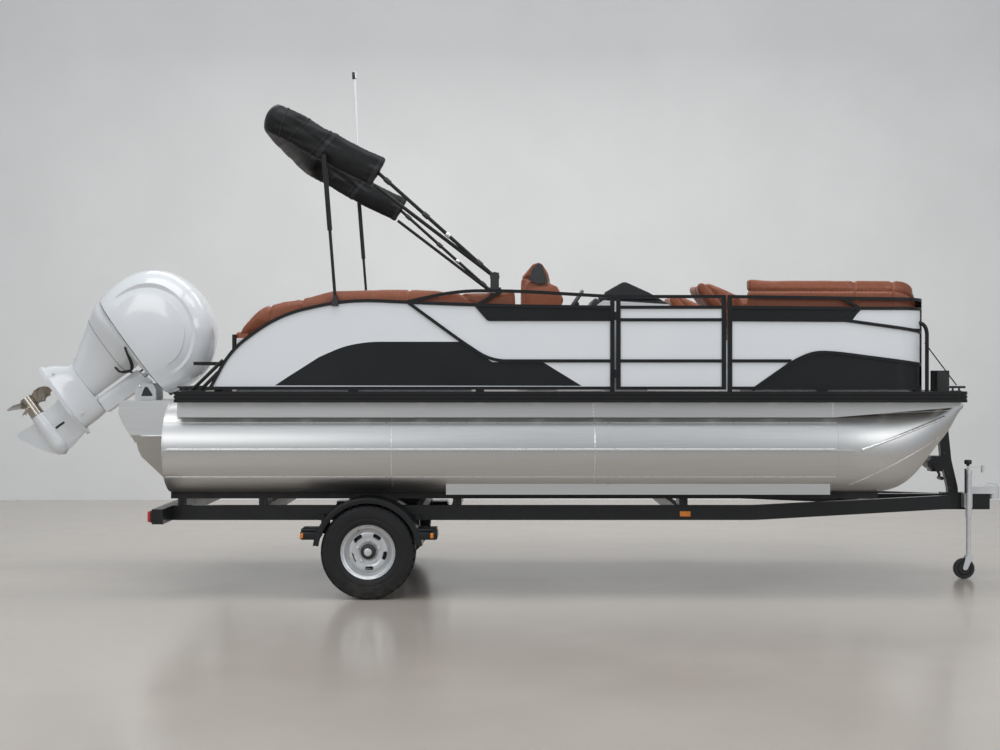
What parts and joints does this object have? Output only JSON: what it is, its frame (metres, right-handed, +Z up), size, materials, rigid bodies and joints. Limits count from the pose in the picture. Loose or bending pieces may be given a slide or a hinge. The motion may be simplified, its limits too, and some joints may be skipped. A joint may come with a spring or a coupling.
{
  "type": "pontoon boat on a single-axle trailer",
  "caption": "Twin-tube pontoon deck boat with fence, lounges, helm, folded bimini and tilted outboard, parked on its bunk trailer.",
  "frame": {"origin": "on the ground under the middle of the whole length and width", "axes": "+X towards the bow, +Y to port, +Z up"},
  "size_m": [7.6887, 2.59, 4.1737],
  "materials": {
    "bright_aluminium": "bright mill finish",
    "black_frame": "satin black powder coat",
    "white_panel": "gloss white",
    "black_panel": "gloss black",
    "black_rubber": "ribbed rub rail",
    "tan_leather": "grained marine vinyl",
    "white_plastic": "moulded",
    "cowl_white": "gloss white",
    "dark_screen": "smoked acrylic",
    "boot_fabric": "dark woven canvas",
    "deck_cover": "woven vinyl deck cover",
    "trailer_black": "gloss black enamel",
    "bunk_carpet": "carpet over timber",
    "tyre": "moulded rubber",
    "silver_steel": "silver paint",
    "zinc_steel": "zinc plated",
    "red_lens": "moulded lens",
    "prop_steel": "polished steel",
    "black_plastic": "moulded",
    "white_pole": "white pole with black cap",
    "engine_block": "plain block"
  },
  "bodies": {
    "boat": {"tube_starboard": "bright_aluminium", "tube_port": "bright_aluminium", "crossbeams": "bright_aluminium", "deck": "deck_cover", "rub_rail": "black_rubber", "side_skirts": "bright_aluminium", "motor_pod": "bright_aluminium", "frame_rails": "trailer_black", "frame_crossbeams": "trailer_black", "tongue": "trailer_black", "coupler": "zinc_steel", "bunks": "bunk_carpet", "bunk_brackets": "trailer_black", "axle": "trailer_black", "fenders": "trailer_black", "trailer_lamps": "red_lens", "winch_stand": "trailer_black", "jack": "zinc_steel", "clamp_brackets": "cowl_white", "fence_starboard": "black_frame", "fence_port": "black_frame", "white_panels": "white_panel", "black_panels": "black_panel", "lounge_bases": "white_plastic", "stern_seats": "tan_leather", "bow_seats": "tan_leather", "stern_backrests": "tan_leather", "bow_backrests": "tan_leather", "console": "white_plastic", "windscreen": "dark_screen", "chair_pedestal": "bright_aluminium", "deck_fittings": "black_plastic", "ladder_hinge": "black_frame"},
    "wheel_starboard": {"tyre_starboard": "tyre", "rim_starboard": "silver_steel"},
    "wheel_port": {"tyre_port": "tyre", "rim_port": "silver_steel"},
    "caster": {"jack_caster": "zinc_steel"},
    "caster_wheel": {"jack_wheel": "black_plastic"},
    "swivel": {"swivel_bracket": "cowl_white"},
    "outboard": {"engine_cowl": "cowl_white", "powerhead": "engine_block", "midsection": "cowl_white", "lower_unit": "cowl_white"},
    "screw": {"propeller": "prop_steel"},
    "side_gate_starboard": {"gate_starboard": "black_frame", "gate_panels_starboard": "white_panel"},
    "side_gate_port": {"gate_port": "black_frame", "gate_panels_port": "white_panel"},
    "front_gate": {"bow_gate": "black_frame"},
    "rear_gate": {"stern_gate": "black_frame"},
    "chair": {"chair_slider": "black_plastic", "helm_chair": "tan_leather"},
    "helm_wheel": {"steering_wheel": "black_plastic"},
    "bimini": {"bimini_bows": "black_frame", "bimini_boot": "boot_fabric", "light_pole": "white_pole"},
    "strut_inner": {"strut_lower": "black_frame"},
    "strut_sleeve": {"strut_upper": "black_frame"},
    "boarding_ladder": {"ladder": "black_frame"}
  },
  "joints": [
    {"name": "wheel_starboard_spin", "type": "hinge", "parent": "boat", "child": "wheel_starboard", "pos_m": [-0.952, -1.1025, 0.3315], "axis": [0, 1, 0], "continuous": true},
    {"name": "wheel_port_spin", "type": "hinge", "parent": "boat", "child": "wheel_port", "pos_m": [-0.952, 1.1025, 0.3315], "axis": [0, 1, 0], "continuous": true},
    {"name": "caster_swivel", "type": "hinge", "parent": "boat", "child": "caster", "pos_m": [3.579, -0.125, 0.175], "axis": [0, 0, 1], "continuous": true},
    {"name": "caster_wheel_spin", "type": "hinge", "parent": "caster", "child": "caster_wheel", "pos_m": [3.542, -0.125, 0.079], "axis": [0, 1, 0], "continuous": true},
    {"name": "outboard_tilt", "type": "hinge", "parent": "boat", "child": "swivel", "pos_m": [-2.764, 0, 1.436], "axis": [0, 1, 0], "range_deg": [-56, 3]},
    {"name": "outboard_steer", "type": "hinge", "parent": "swivel", "child": "outboard", "pos_m": [-2.83747, 0, 1.53713], "axis": [0.809, 0, 0.5878], "range_deg": [-30, 30]},
    {"name": "propeller_spin", "type": "hinge", "parent": "outboard", "child": "screw", "pos_m": [-3.67469, 0, 1.31821], "axis": [0.5878, 0, -0.809], "continuous": true},
    {"name": "side_gate_starboard_swing", "type": "hinge", "parent": "boat", "child": "side_gate_starboard", "pos_m": [0.77, -1.26, 1.76], "axis": [0, 0, 1], "range_deg": [-100, 0]},
    {"name": "side_gate_port_swing", "type": "hinge", "parent": "boat", "child": "side_gate_port", "pos_m": [0.77, 1.26, 1.76], "axis": [0, 0, 1], "range_deg": [0, 100]},
    {"name": "bow_gate_swing", "type": "hinge", "parent": "boat", "child": "front_gate", "pos_m": [2.914, 0.344, 1.78], "axis": [0, 0, 1], "range_deg": [-90, 0]},
    {"name": "stern_gate_swing", "type": "hinge", "parent": "boat", "child": "rear_gate", "pos_m": [-1.858, 0.344, 1.65], "axis": [0, 0, 1], "range_deg": [0, 90]},
    {"name": "chair_slide", "type": "slide", "parent": "boat", "child": "chair", "axis": [1, 0, 0], "range_m": [-0.12, 0]},
    {"name": "helm_turn", "type": "hinge", "parent": "boat", "child": "helm_wheel", "pos_m": [0.49, -0.75, 2.061], "axis": [0.829, 0, -0.5592], "range_deg": [-370, 370]},
    {"name": "bimini_fold", "type": "hinge", "parent": "boat", "child": "bimini", "pos_m": [-0.067, 0, 2.253], "axis": [0, 1, 0], "range_deg": [-22, 0]},
    {"name": "strut_swing", "type": "hinge", "parent": "boat", "child": "strut_inner", "pos_m": [-1.173, 0, 2.104], "axis": [0, 1, 0], "range_deg": [-29, 0.5]},
    {"name": "strut_reach", "type": "slide", "parent": "strut_inner", "child": "strut_sleeve", "axis": [-0.0784, 0, 0.9969], "range_m": [-0.43, 0.005]},
    {"name": "ladder_flip", "type": "hinge", "parent": "boat", "child": "boarding_ladder", "pos_m": [-2.3, -0.8, 1.472], "axis": [0, 1, 0], "range_deg": [-180, 0]}
  ],
  "couplings": [
    {"joint": "strut_swing", "follows": "bimini_fold", "ratio": 1.26},
    {"joint": "strut_reach", "follows": "bimini_fold", "m_per_rad": 1.091},
    {"joint": "helm_turn", "follows": "outboard_steer", "ratio": 12}
  ]
}
